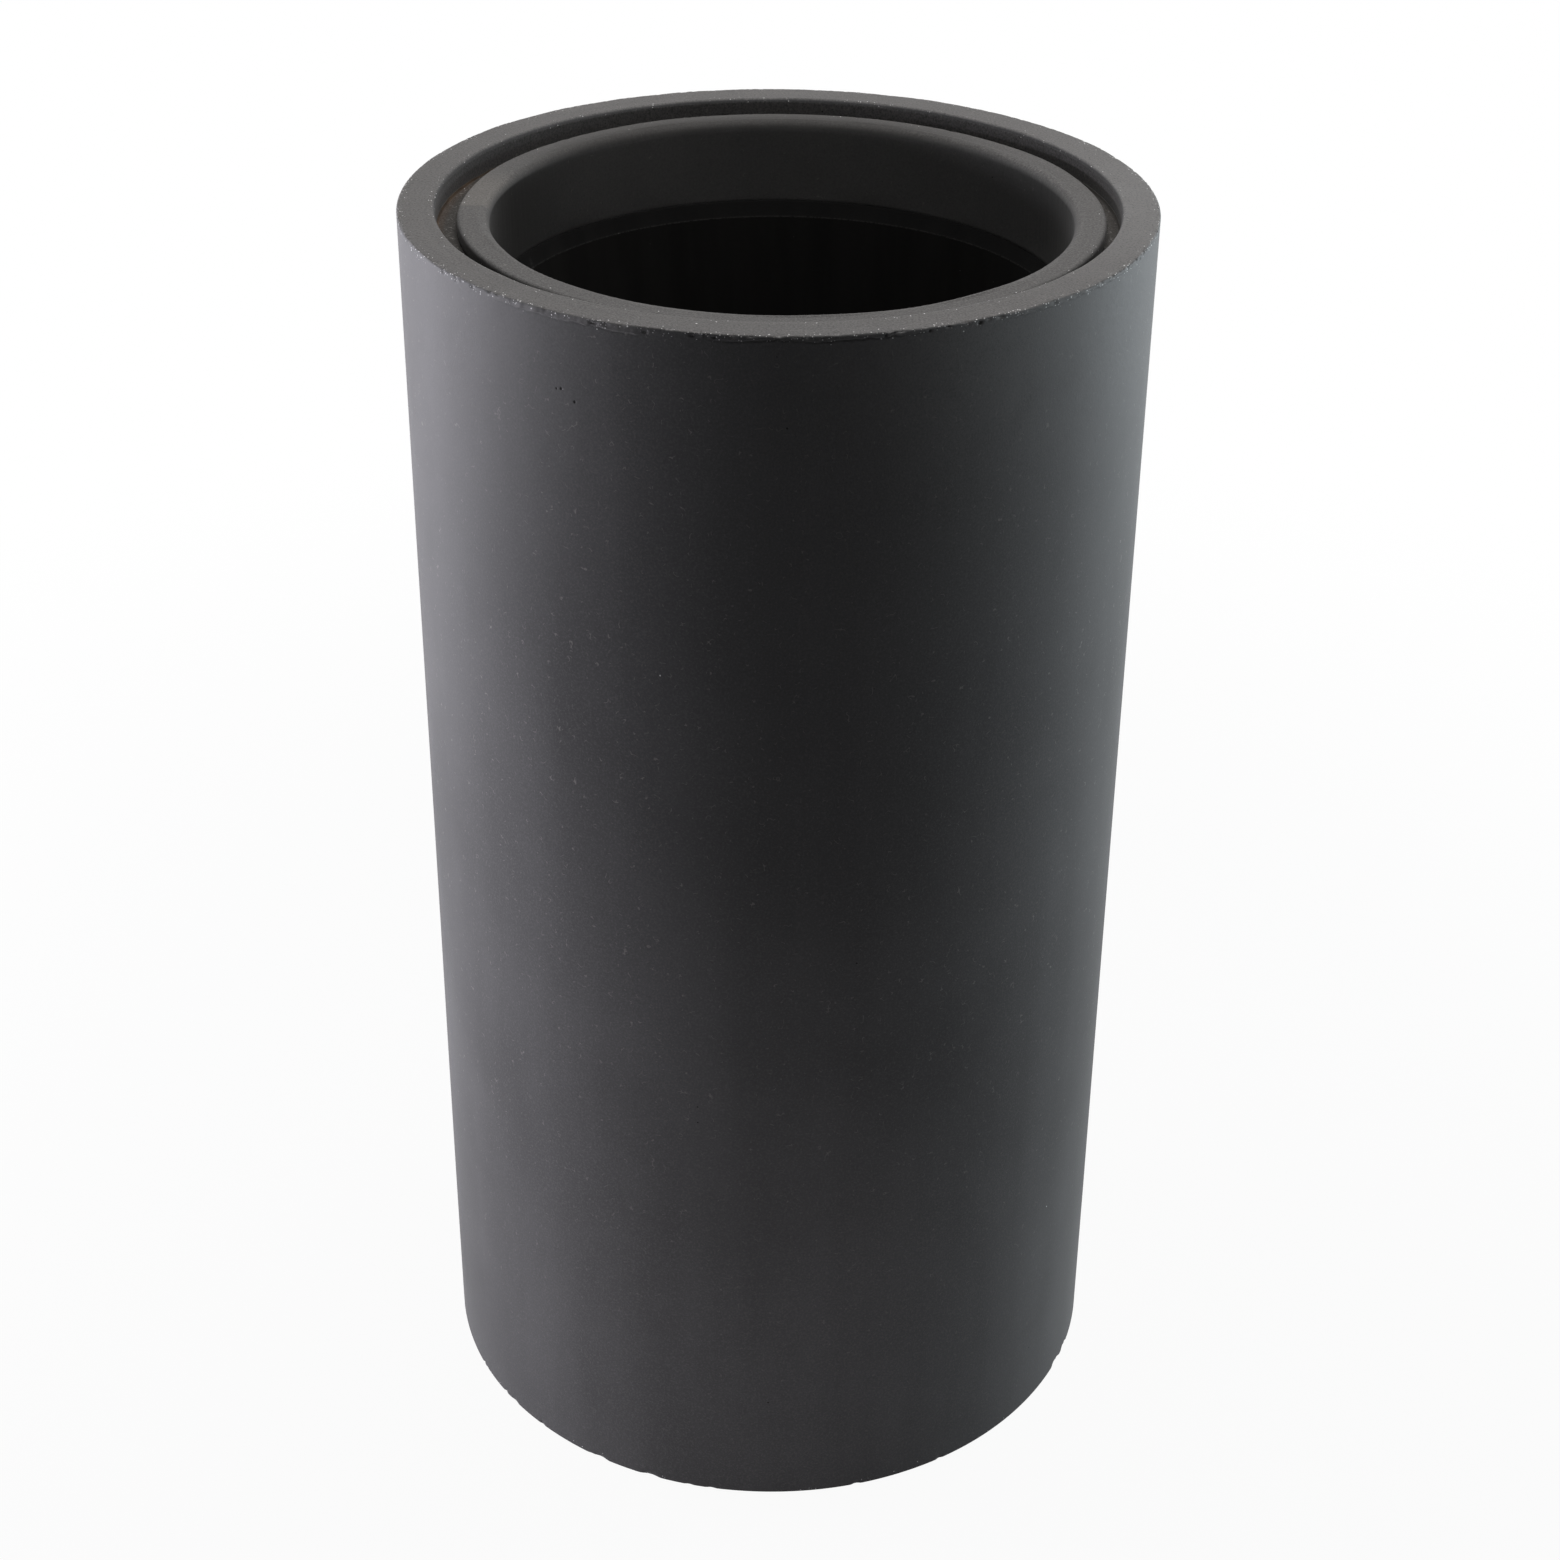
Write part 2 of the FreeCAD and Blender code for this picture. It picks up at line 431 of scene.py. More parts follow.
def scattered_dents(turn, along, at_along, radius, count, sizes, drift, seed):
    """Dents of random size, depth and place along one edge of the outline; the deepest counts."""
    draw = np.random.default_rng(seed)
    total = np.zeros(np.broadcast(turn, along).shape)
    for _ in range(count):
        size = draw.uniform(*sizes)
        place = at_along + draw.normal() * drift
        dent = bowl(turn, along, draw.uniform(0, 2 * np.pi), place, radius, size, draw.uniform(0.8, 2))
        total = np.maximum(total, dent * draw.uniform(0.3, 1))
    return total


def placed_dents(turn, along, at_along, radius, spots, longer=1.0):
    """Dents along one edge of the outline at chosen spots (degrees, size); the deepest counts."""
    total = np.zeros(np.broadcast(turn, along).shape)
    for degrees, size in spots:
        dent = bowl(turn, along, math.radians(degrees), at_along, radius, size, longer)
        total = np.maximum(total, dent)
    return total


def step_up(value, low, high):
    """0 below low and 1 above high, with a smooth step between."""
    part = np.clip((value - low) / (high - low), 0, 1)
    return part * part * (3 - 2 * part)


def stretch(turn, start, end, soft=4.0):
    """1 between two angles in degrees, from 0 to 360, with a smooth step over soft at each end."""
    degrees = np.degrees(turn)
    return step_up(degrees, start - soft, start + soft) * step_up(-degrees, -end - soft, -end + soft)


def hump(value, middle, width):
    """1 where value is middle, falling off smoothly to both sides over width."""
    return np.exp(-((value - middle) / width) ** 2)


# %% [markdown]
# ## Effects that the finishes share
# Fibre cement is fine sand and glass fibre in a dark paste. Five effects cover all the finishes. Each
# is a node group with its own inputs, so a finish only chooses values.

# %% Group helpers
def new_group(name, inputs, outputs):
    """An empty node group that takes a place and numbers, and gives numbers."""
    group = bpy.data.node_groups.new(name, "ShaderNodeTree")
    group.interface.new_socket("Place", in_out="INPUT", socket_type="NodeSocketVector")
    for label in inputs:
        group.interface.new_socket(label, in_out="INPUT", socket_type="NodeSocketFloat")
    for label in outputs:
        group.interface.new_socket(label, in_out="OUTPUT", socket_type="NodeSocketFloat")
    given = group.nodes.new("NodeGroupInput").outputs
    result = group.nodes.new("NodeGroupOutput").inputs
    print("group:", name)
    return group, given, result


def effect(tree, group, place, **inputs):
    """Places a node group in a material and returns its outputs."""
    return put(tree, "Group", {"Place": place, **inputs}, node_tree=group).outputs


# %% [markdown]
# Clouds: one soft noise for patches where the paste set lighter or darker, and the same noise drawn
# out to ten times its width along the height for streaks. Streaks sets how much the second one counts.

# %% Clouds group
drawn_out = (5.0, 5.0, 0.5)
clouds, given, result = new_group("clouds", ["Patches", "Streaks"], ["Tone"])
patches = noise(clouds, given["Place"], given["Patches"], 4.0, 0.6)
tall = put(clouds, "VectorMath", {0: given["Place"], 1: drawn_out}, operation="MULTIPLY").outputs[0]
streaks = noise(clouds, tall, given["Patches"], 3.0, 0.55)
blended = put(clouds, "Mix", {0: given["Streaks"], 2: patches, 3: streaks}, data_type="FLOAT").outputs[0]
clouds.links.new(fade(clouds, blended, *noise_range), result["Tone"])

# %% [markdown]
# Grain: two fine noises, one about the size of sand and one finer, mixed for a height and a tone.

# %% Grain group
finer = 3.3
finer_share = 0.35
grain, given, result = new_group("grain", ["Scale"], ["Tone", "Height"])
sand = noise(grain, given["Place"], given["Scale"], 2.0, 0.6)
dust = noise(grain, given["Place"], times(grain, given["Scale"], finer), 1.0)
mixed = put(grain, "Mix", {0: finer_share, 2: sand, 3: dust}, data_type="FLOAT").outputs[0]
grain.links.new(fade(grain, mixed, *noise_range), result["Tone"])
grain.links.new(mixed, result["Height"])

# %% [markdown]
# Dots, for pale sand and for pin holes: a Voronoi texture divides space into cells with one point
# each. A share of the cells is picked by the cell's random colour, and near its point the mask is 1.
# Size is the dot's radius as a part of a cell, and it varies from cell to cell.

# %% Dots group
least_size = 0.4
size_spread = 0.8
solid_part = 0.6
dots, given, result = new_group("dots", ["Scale", "Share", "Size"], ["Mask"])
cells = put(dots, "TexVoronoi", {"Vector": given["Place"], "Scale": given["Scale"]})
chance = put(dots, "SeparateXYZ", {0: cells.outputs["Color"]}).outputs
picked = maths(dots, "LESS_THAN", chance["X"], given["Share"])
dot_end = times(dots, scaled(dots, chance["Y"], size_spread, least_size), given["Size"])
dot = fade(dots, cells.outputs["Distance"], dot_end, times(dots, dot_end, solid_part))
dots.links.new(times(dots, dot, picked), result["Mask"])

# %% [markdown]
# Fibres: where a soft noise crosses its middle value it draws a thin curved line. A second noise
# lets only short pieces of that line through, which look like stray hairs of glass fibre.

# %% Fibres group
middle_level = 0.5
gate_place = (3.1, 7.7, 5.3)
gate_level = 0.75
gate_soft = 0.04
fibres, given, result = new_group("fibres", ["Scale", "Width", "Share"], ["Mask"])
level = noise(fibres, given["Place"], given["Scale"], 0.0)
off_line = maths(fibres, "ABSOLUTE", maths(fibres, "SUBTRACT", level, middle_level))
curve = fade(fibres, off_line, given["Width"], 0.0)
elsewhere = put(fibres, "VectorMath", {0: given["Place"], 1: gate_place}, operation="ADD").outputs[0]
gate = noise(fibres, elsewhere, times(fibres, given["Scale"], 0.9), 0.0)
closed_at = maths(fibres, "SUBTRACT", gate_level, times(fibres, given["Share"], 0.5))
passed = fade(fibres, gate, closed_at, maths(fibres, "ADD", closed_at, gate_soft))
fibres.links.new(times(fibres, curve, passed), result["Mask"])

# %% [markdown]
# Turning marks: rubbing down a rim leaves faint lines that run round with it. The noise is read at
# the direction from the axis, which changes slowly, and at radius plus height, which changes fast
# across the marks.

# %% Turning marks group
level_only = (1.0, 1.0, 0.0)
marks, given, result = new_group("turning marks", ["Scale"], ["Tone"])
flat = put(marks, "VectorMath", {0: given["Place"], 1: level_only}, operation="MULTIPLY").outputs[0]
off_axis = put(marks, "VectorMath", {0: flat}, operation="LENGTH").outputs["Value"]
direction = put(marks, "VectorMath", {0: flat}, operation="NORMALIZE").outputs[0]
split = put(marks, "SeparateXYZ", {0: direction}).outputs
upward = put(marks, "SeparateXYZ", {0: given["Place"]}).outputs["Z"]
crosswise = times(marks, maths(marks, "ADD", off_axis, upward), given["Scale"])
lookup = put(marks, "CombineXYZ", {0: split["X"], 1: split["Y"], 2: crosswise}).outputs[0]
marks.links.new(fade(marks, noise(marks, lookup, 1.6, 3.0, 0.6), *noise_range), result["Tone"])

# %% [markdown]
# ## Finish of the fibre cement
# Shell, ledge and collar are the same stuff, laid and finished differently. One function builds the
# finish, and each piece gives its own tones and amounts; the ledge's tones are darker than the
# shell's as painted shade, and the collar's paler as painted light. The points of a piece carry
# values of their own, from 0 to 1: one for flat tops that were rubbed down and are paler and warmer,
# which on the shell also lightens the strip of bore above the ledge as painted light; flash for raw
# skin past the mould's edge, worn for chips with fresh cement, edge for closeness to a sharp edge,
# where pale sand and pin holes gather; one for painted shade, in grooves, pits, under the foot and in
# the collar; and one for patches of another colour, which on the shell are painted light on the rim
# and the upper wall.

# %% Fibre cement finish
bright_grain = grey(0.16, 0.03)
dark_grain = grey(0.03, 0.05)
fibre_tone = grey(0.18, 0.04)
# painted shade: the colour laid on grooves, pits, the foot and parts of the collar to darken them
painted_shade_tone = grey(0.012, 0.1)
fresh_cement = grey(0.25)
pale_sand = grey(0.65)
# painted shade: the near-black of pin holes and burst bubbles
painted_hole_shade = grey(0.01)
rough_spread = 0.16


def fibre_cement(name, dark, light, top, stain_and_light_tone, rough, specks, hairs, pits, grain_depth, bubbles=()):
    """A cement finish. dark and light are the two tones of the clouds, top is the tone of rubbed-down
    faces, and the next tone is that of patches of another colour, which on the shell are painted
    light. specks, hairs and pits are the shares of pale dots, fibres and pin holes, whose dark is
    painted shade. Fibres show less towards the foot, under a thicker skin of paste. bubbles are burst
    air bubbles, painted dark as shade in their holes, each a place on the piece and a radius."""
    material, tree, place = new_material(name)
    labels = ("sanded_and_painted_light", "flash", "worn", "edge", "painted_shade", "stain_and_painted_light")
    own = {label: own_value(tree, label) for label in labels}
    cloud = effect(tree, clouds, place, Patches=6.0, Streaks=0.3)["Tone"]
    patch = effect(tree, clouds, place, Patches=65.0, Streaks=0.0)["Tone"]
    rubbed = effect(tree, marks, place, Scale=260.0)["Tone"]
    sand = effect(tree, grain, place, Scale=900.0)
    crowd = times(tree, own["edge"], fade(tree, patch, 0.05, 0.6))
    large_share = scaled(tree, own["sanded_and_painted_light"], 0.014, specks)
    small_share = times(tree, crowd, 0.9)
    pit_share = scaled(tree, crowd, 0.35, pits)
    large = effect(tree, dots, place, Scale=330.0, Share=large_share, Size=0.17)["Mask"]
    small = effect(tree, dots, place, Scale=800.0, Share=small_share, Size=0.3)["Mask"]
    pale = maths(tree, "MAXIMUM", large, small)
    holes = effect(tree, dots, place, Scale=210.0, Share=pit_share, Size=0.11)["Mask"]
    for spot, reach in bubbles:
        away = put(tree, "VectorMath", {0: place, 1: spot}, operation="DISTANCE").outputs["Value"]
        holes = maths(tree, "MAXIMUM", holes, fade(tree, away, reach, reach / 3))
    hair = effect(tree, fibres, place, Scale=340.0, Width=0.045, Share=hairs)["Mask"]
    upward = put(tree, "SeparateXYZ", {0: place}).outputs["Z"]
    hair = times(tree, hair, fade(tree, upward, -0.3 * rim_height, 0.7 * rim_height))

    cool_top = lay_over(tree, 0.5, top, light)
    rubbed_top = lay_over(tree, rubbed, top, light, share=0.3)
    rubbed_top = lay_over(tree, patch, rubbed_top, cool_top, share=0.4)
    stain_and_painted_light = times(tree, own["stain_and_painted_light"], fade(tree, patch, -1.5, 0.6))
    sandy = scaled(tree, own["sanded_and_painted_light"], 0.4, 0.2)
    brighter = times(tree, fade(tree, sand["Tone"], 0.5, 1.0), sandy)
    darker = times(tree, fade(tree, sand["Tone"], 0.5, 0.0), sandy)
    fresh = times(tree, own["worn"], fade(tree, sand["Tone"], 0.2, 0.8))
    layers = (
        # rubbed-down tops; on the shell also painted light on the strip of bore above the ledge
        (own["sanded_and_painted_light"], rubbed_top, 1.0),
        (own["flash"], top, 0.7),
        # stains; on the shell, painted light on the rim and the upper wall
        (stain_and_painted_light, stain_and_light_tone, 1.0),
        (brighter, bright_grain, 1.0),
        (darker, dark_grain, 1.0),
        (hair, fibre_tone, 0.6),
        # painted shade in grooves, pits, under the foot and in the collar
        (own["painted_shade"], painted_shade_tone, 0.75),
        (fresh, fresh_cement, 1.0),
        (pale, pale_sand, 1.0),
        # painted shade in pin holes and burst bubbles
        (holes, painted_hole_shade, 1.0),
    )
    colour = lay_over(tree, cloud, dark, light)
    for mask, tone, share in layers:
        colour = lay_over(tree, mask, colour, tone, share)

    raised = maths(tree, "SUBTRACT", times(tree, sand["Height"], sandy), holes)
    uneven = scaled(tree, sand["Tone"], rough_spread, rough - rough_spread / 2)
    end_with_surface(tree, raised, 0.5, grain_depth, {
        "Base Color": colour, "Roughness": uneven, "Specular IOR Level": 0.05,
        "Sheen Weight": 0.05, "Sheen Roughness": 0.3})
    return material


def on_outer_wall(degrees, below_rim):
    """Place on the outer wall at an angle from the right-hand side and a depth below the rim."""
    turn = math.radians(degrees)
    return (shell_radius * math.cos(turn), shell_radius * math.sin(turn), rim_height - below_rim)


wall_bubbles = (
    (on_outer_wall(-121.2, 0.037), 0.0010),
    (on_outer_wall(-122.0, 0.0375), 0.0008),
    (on_outer_wall(-119.0, 0.042), 0.0011),
)
shell_finish = fibre_cement(
    "shell_cement",
    dark=grey(0.052, -0.012, 0.015), light=grey(0.073, -0.012, 0.015), top=grey(0.113, 0.02, 0.01),
    # the shell's patch tone is painted light on the rim and the upper wall
    stain_and_light_tone=grey(0.165), rough=0.6, specks=0.0005, hairs=0.1, pits=0.012, grain_depth=0.0008,
    bubbles=wall_bubbles)
# painted shade: the ledge is the shell's cement, but its tones are well under half the shell's, for the
# shade of the narrow gap it lies in
shaded_ledge_finish = fibre_cement(
    "ledge_cement", dark=grey(0.02, 0.06), light=grey(0.03, 0.08), top=grey(0.026, 0.1),
    stain_and_light_tone=(0.05, 0.033, 0.023, 1.0), rough=0.65, specks=0.01, hairs=0.4, pits=0.1, grain_depth=0.0015)
# painted light: the collar is the shell's cement, but its cloud tones are raised to light its shaded
# inner wall
collar_painted_light_finish = fibre_cement(
    "collar_cement", dark=grey(0.094), light=grey(0.112, 0.01), top=grey(0.08, 0.015, 0.01),
    stain_and_light_tone=grey(0.125, 0.06), rough=0.6, specks=0.0005, hairs=0.04, pits=0.012, grain_depth=0.0006)

# %% [markdown]
# ## The shell
# On the real planter the shell is laid up in a mould, mouth down. It keeps a rough band of flash just
# under the rim, small chips along the sharp outer edge, a notched base edge and a lumpy inside that
# nobody sees. The outline has more rows where those marks are and few on the straight wall.

# %% Outline of the shell
notch_zone = 0.010
flash_low = 0.0052
flash_high = 0.0012
hole_round = 0.001
shell_line = outline_through([
    (drain_radius, base_height, hole_round, 2, 4),
    (shell_radius, base_height, base_round / 4, 4, 6),
    (shell_radius, base_height + notch_zone, 0, 0, 8),
    (shell_radius, rim_height - flash_low, 0, 0, 12),
    (shell_radius, rim_height - flash_high, 0, 0, 3),
    (shell_radius, rim_height, rim_outer_round / 2, 5, 9),
    (bore_radius, rim_height, rim_inner_round / 2, 6, 4),
    (bore_radius, ledge_height, 0, 0, 5),
    (bore_radius, floor_height, floor_round, 4, 4),
    (drain_radius, floor_height, hole_round, 2, 2),
])
shell_turn = turns(1200)
print("shell outline: %d rows" % len(shell_line.radius))

# %% [markdown]
# The flash is a skin of cement that crept past the mould's edge. It bulges half a millimetre, ends
# in a ragged line 2 to 4 mm below the rim and has upright marks. Most of it was broken off: it
# is left in a stretch at the front left, faintly at the front with a groove under it that is also
# darkened as painted shade, and at the front right, each given by its two angles from the
# right-hand side, with mere traces at the back.

# %% Stretches of flash
left_flash = stretch(shell_turn, 229, 252)
front_flash = stretch(shell_turn, 262, 288, 8.0)
right_flash = stretch(shell_turn, 303, 332)
traces = np.clip(0.1 * rolling(shell_turn, 20, 18), 0, 1) * (shell_turn < np.pi)
broken = np.clip(0.75 + 0.45 * rolling(shell_turn, 160, 19), 0, 1)
strength = np.maximum(left_flash, 0.35 * front_flash)
strength = np.maximum(strength, 0.6 * right_flash)
strength = np.maximum(strength, traces) * broken
print("flash: on %.0f%% of the rim" % (100 * np.mean(strength > 0.3)))

# %% [markdown]
# Masks along the outline say where a mark can be. The rim is painted paler towards the right, as
# painted light, and the wall is painted paler down to 140 mm below the rim, most at the front right
# and a little at the front left: painted light that falls on the top of the wall, partly pale
# mottling of the cement. The strip of bore above the ledge gets the rim's pale tone as painted light.
# The relief then adds up the flash, the groove under it, slow waves, the fine grain of the rim and the
# lumps inside.

# %% Masks of the shell
painted_light_depth = 0.14
below_rim = rim_height - shell_line.height
outside = step_up(shell_line.out, 0.1, 0.8)
on_top = step_up(shell_line.up, 0.5, 0.95) * (shell_line.height > ledge_height)
inside = (shell_line.radius < bore_radius + touch) * (shell_line.radius > 2 * drain_radius)
inside = inside * (shell_line.height > floor_height - touch)
lumpy = inside * (shell_line.height < ledge_end)
above_ledge = inside * (shell_line.height > ledge_height - touch)
# painted light: the strip of bore above the ledge gets the pale tone of the rim, for light that reaches
# into the gap
bore_painted_light = above_ledge * step_up(-shell_line.out, 0.5, 0.95)
shell_sanded_and_painted_light = np.maximum(on_top, 0.9 * bore_painted_light)
# painted light: the rim is paler towards the right, where the light falls
rim_painted_light = 0.68 * on_top * np.clip(np.cos(shell_turn), 0, 1) ** 6
# painted light on the upper wall, partly pale mottling of the cement, most at the front right
front_right_light = hump(np.degrees(shell_turn), 301, 20)
front_left_light = hump(np.degrees(shell_turn), 234, 15)
upper_wall_painted_light = 0.1 + 0.5 * front_right_light + 0.17 * front_left_light
upper_wall_painted_light = upper_wall_painted_light * outside * step_up(-below_rim, -painted_light_depth, 0.0)
shell_painted_light = np.maximum(rim_painted_light, upper_wall_painted_light)
print("bloom: down to %.0f mm below the rim" % (1000 * painted_light_depth))

# %% Relief of the shell
flash_depth = 0.0006
groove_depth = 0.0002
groove_width = 0.0004
wall_wave = 0.00014
rim_wave = 0.00016
rim_grain = 0.00005
inside_lump = 0.0006
flash_end = 0.0025 + 0.001 * left_flash
flash_end = flash_end + 0.0006 * rolling(shell_turn, 40, 11)
flash_end = flash_end + 0.0004 * rolling(shell_turn, 260, 12)
flash = step_up(flash_end - below_rim, -0.0001, 0.0004) * outside * strength
bulge = 0.45 + 0.55 * below_rim / flash_end
ribs = 1 + 0.35 * rolling(shell_turn, 480, 13)
# the groove under the flash is also darkened in colour below, as painted shade
groove = hump(below_rim, flash_end + groove_width, groove_width) * outside
groove = groove * np.clip(0.4 * strength + 0.9 * front_flash * broken, 0, 1)
shell_relief = flash_depth * flash * bulge * ribs - groove_depth * groove
shell_relief += wall_wave * outside * rolling(shell_turn, 12, 14, shell_line.height, 3.0)
shell_relief += rim_wave * on_top * rolling(shell_turn, 40, 15, shell_line.along, 30.0)
shell_relief += rim_grain * on_top * rolling(shell_turn, 420, 16, shell_line.along, 300.0)
shell_relief += inside_lump * lumpy * rolling(shell_turn, 60, 17, shell_line.along, 45.0)
print("shell relief: up to %.2f mm" % (1000 * shell_relief.max()))

# %% [markdown]
# Chips sit on the sharp outer edge of the rim, notches on the base edge. Most are scattered at random,
# and the few that stand out in the photograph are placed by their angle from the right-hand side.

# %% Chips and notches of the shell
chip_depth = 0.0008
pit_depth = 0.0008
notch_depth = 0.0009
scar_turn = math.radians(-115.6)
scar_size = 0.0018
pit_spots = ((-61.4, 0.0016), (-75.3, 0.0013), (-69.0, 0.001), (-98.5, 0.001))
notch_spots = ((-120.4, 0.004), (-110.6, 0.0045), (-25.1, 0.004))
way = shell_line.along
rim_edge = way[np.argmax(shell_line.radius + shell_line.height)]
bore_edge = way[np.argmax((shell_line.height - shell_line.radius) * on_top)]
base_edge = way[np.argmax(shell_line.radius - shell_line.height)]
chips = scattered_dents(shell_turn, way, rim_edge, shell_radius, 170, (0.0011, 0.0019), 0.0009, 21)
scar = bowl(shell_turn, way, scar_turn, rim_edge - 0.0012, shell_radius, scar_size, 1.4)
scar = scar - bowl(shell_turn, way, scar_turn, rim_edge - 0.0004, shell_radius, scar_size, 1.1)
fewer_behind = 1 - 0.7 * stretch(shell_turn, 30, 150, 15.0)
chips = np.maximum(chips, np.clip(2 * scar, 0, 1)) * fewer_behind
rim_pits = placed_dents(shell_turn, way, rim_edge - 0.0014, shell_radius, pit_spots)
notches = scattered_dents(shell_turn, way, base_edge, shell_radius, 30, (0.0015, 0.0032), 0.001, 22)
notches = np.maximum(notches, placed_dents(shell_turn, way, base_edge, shell_radius, notch_spots, 1.6))
shell_relief = shell_relief - chip_depth * chips - notch_depth * notches - pit_depth * rim_pits
shell_worn = np.clip(0.7 * step_up(chips, 0.35, 0.8) + 0.2 * step_up(notches, 0.3, 0.8), 0, 1)
# painted shade: the underside and base edge at the foot, the groove under the flash and the rim pits are
# darkened
under = step_up(-shell_line.up, 0.1, 0.6) * (shell_line.height < base_height + notch_zone)
shell_painted_shade = np.maximum(groove, np.maximum(0.8 * under, step_up(rim_pits, 0.15, 0.6)))
near_edges = hump(way, rim_edge, 0.0024) + 0.3 * hump(way, bore_edge, 0.002)
near_edges = near_edges + 0.25 * hump(way, base_edge, 0.003)
shell_edge = np.clip(near_edges - 0.02, 0, 1)
print("with chips and notches: down to %.2f mm" % (1000 * shell_relief.min()))

# %% Shell piece
shell_piece = carved("hand_laid_shell", shell_turn, shell_line, shell_relief, shell.axis, shell_finish, {
    "sanded_and_painted_light": shell_sanded_and_painted_light, "flash": flash, "worn": shell_worn, "edge": shell_edge,
    "painted_shade": shell_painted_shade, "stain_and_painted_light": shell_painted_light})
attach(shell_piece, "shell")
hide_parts("outer_shell")

# %% [markdown]
# ## The ledge and its resin
# A ring with a flat top and a sloping underside is bonded into the mouth, and the insert rests on it.
# It was hardly sanded. Brown resin was wiped into the corner between ring and wall, thick in places
# and nearly gone in others. It shows as a brown streak at the left of the gap, and grey dust of the
# sanding lies on the rest of it.

# %% Ledge piece
ring_edge = 0.0008
nose_top_round = 0.0015
nose_foot_round = 0.002
ledge_lump = 0.0002
ledge_bore = ledge.radius.min()
ring_radius = ledge.radius.max()
nose_end = ledge.height[ledge.radius < ledge_bore + touch].min()
ledge_line = outline_through([
    (ring_radius, ledge_height, ring_edge, 2, 8),
    (ledge_bore, ledge_height, nose_top_round, 4, 4),
    (ledge_bore, nose_end, nose_foot_round, 3, 5),
    (ring_radius, ledge_end, ring_edge, 2, 4),
])
ledge_turn = turns(720)
ledge_top = step_up(ledge_line.up, 0.5, 0.95)
lumps = rolling(ledge_turn, 90, 31, ledge_line.along, 120.0)
ledge_relief = -ledge_lump * np.abs(lumps) * (ledge_line.radius < ring_radius - 0.001)
near_wall = step_up(ledge_line.radius, ring_radius - 0.005, ring_radius - 0.002) * ledge_top
brown = 0.5 * stretch(ledge_turn, 160, 190) + 0.08 * rolling(ledge_turn, 12, 32)
ledge_stain = near_wall * np.clip(brown, 0, 1)
ledge_piece = carved("bonded_ledge", ledge_turn, ledge_line, ledge_relief, ledge.axis, shaded_ledge_finish, {
    "sanded_and_painted_light": 0.3 * ledge_top, "stain_and_painted_light": ledge_stain})
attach(ledge_piece, "shell")
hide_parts("support_ring")

# %% Resin finish
dark_resin = (0.03, 0.021, 0.015, 1)
light_resin = (0.08, 0.057, 0.04, 1)
bubble_tone = (0.02, 0.014, 0.01, 1)
sanding_dust = grey(0.032, 0.05)
resin_finish, tree, place = new_material("wiped_resin")
cloud = effect(tree, clouds, place, Patches=60.0, Streaks=0.0)["Tone"]
bubbles = effect(tree, dots, place, Scale=420.0, Share=0.25, Size=0.2)["Mask"]
colour = lay_over(tree, cloud, dark_resin, light_resin)
colour = lay_over(tree, bubbles, colour, bubble_tone)
colour = lay_over(tree, own_value(tree, "dusted"), colour, sanding_dust)
wiped = effect(tree, grain, place, Scale=500.0)["Height"]
glossy = scaled(tree, cloud, 0.25, 0.5)
resin_looks = {"Base Color": colour, "Roughness": glossy, "Specular IOR Level": 0.15}
end_with_surface(tree, wiped, 0.4, 0.0006, resin_looks)

# %% [markdown]
# The bead is a hollow fillet: from a foot on the ledge it sweeps up to the wall. How far it reaches
# along both changes round the ring, so foot and height are functions of the turn.

# %% Resin piece
sunk = 0.0003
hollow = 1.7
bead_low, bead_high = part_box("resin_bead")
bead_reach = bead_high[2] - bead_low[2]
bead_wall = measured("resin_bead").radius.max()
amount = 0.42 + 0.3 * rolling(ledge_turn, 9, 41) + 0.1 * rolling(ledge_turn, 70, 42)
heap = 0.5 * hump(ledge_turn, math.radians(171), math.radians(9))
amount = np.clip(np.maximum(amount, heap), 0.12, 1)
sweep_up = np.linspace(0, 1, 8)[None, :]
foot_reach = bead_reach * amount * (1 - sweep_up) ** hollow
wall_reach = bead_reach * np.sqrt(amount) * sweep_up ** hollow
bead_foot = ledge_height - sunk
bead_radius = np.hstack([np.full_like(amount, bead_wall), bead_wall - foot_reach])[:, ::-1]
bead_height = np.hstack([np.full_like(amount, bead_foot), bead_foot + wall_reach])[:, ::-1]
bead_dust = {"dusted": 0.92 * (1 - stretch(ledge_turn, 152, 194, 8.0))}
bead_piece = turned(
    "wiped_resin", ledge_turn, bead_radius, bead_height, ledge.axis, resin_finish, bead_dust)
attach(bead_piece, "shell")
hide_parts("resin_bead")

# %% [markdown]
# ## The collar of the insert
# The insert's upper part is a smooth cement collar: a soft lip that lies on the ledge, and a short
# wall that hangs inside the ring. It was worked with a sponge, so it rolls gently. The back of the
# lip, most towards the mouth, and the left and right ends of the inner wall are darker as painted
# shade, and a mended patch of the lip at the left is paler.

